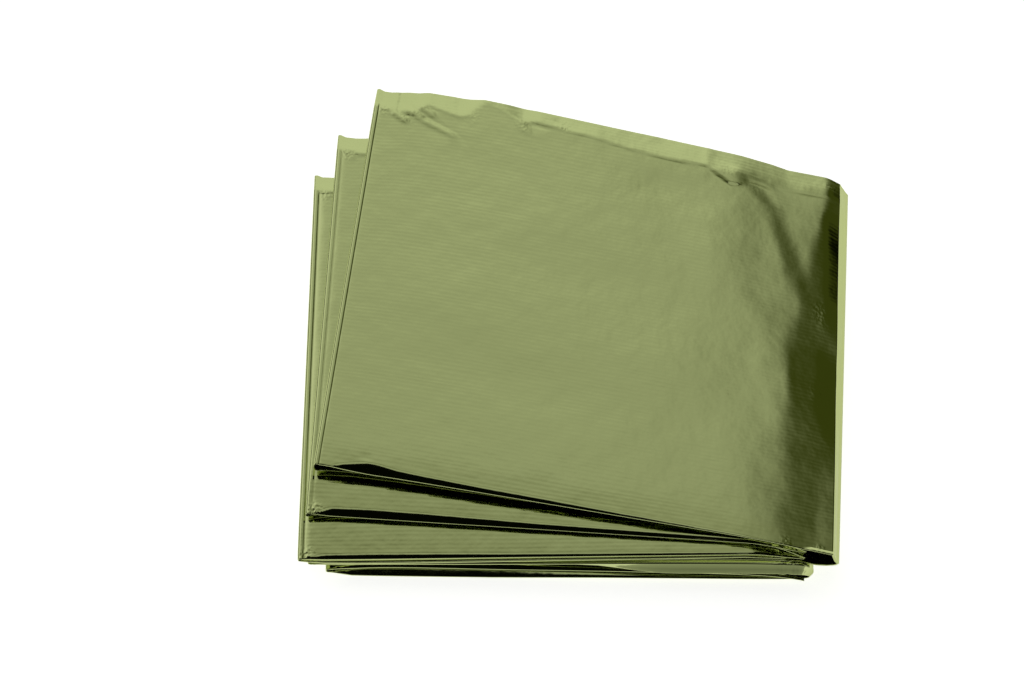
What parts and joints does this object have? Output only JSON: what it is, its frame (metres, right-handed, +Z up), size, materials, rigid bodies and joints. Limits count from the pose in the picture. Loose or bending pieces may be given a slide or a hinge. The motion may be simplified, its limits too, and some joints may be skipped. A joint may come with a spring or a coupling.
{
  "type": "folded emergency foil blanket",
  "caption": "Folded rectangular packet of thin metallised film with fanned leaves and a rolled right side.",
  "frame": {"origin": "centre of the packet's bounding box, on the surface it lies on", "axes": "+X along the leaves towards the wrapped right side, +Y from the front edge to the back, +Z up"},
  "size_m": [0.1266, 0.1198, 0.017],
  "materials": {
    "metallised_film": "olive green metallised film with a satin mirror shine and fine ribs along the strip"
  },
  "bodies": {
    "root": {"foil_blanket": "metallised_film"}
  },
  "joints": []
}
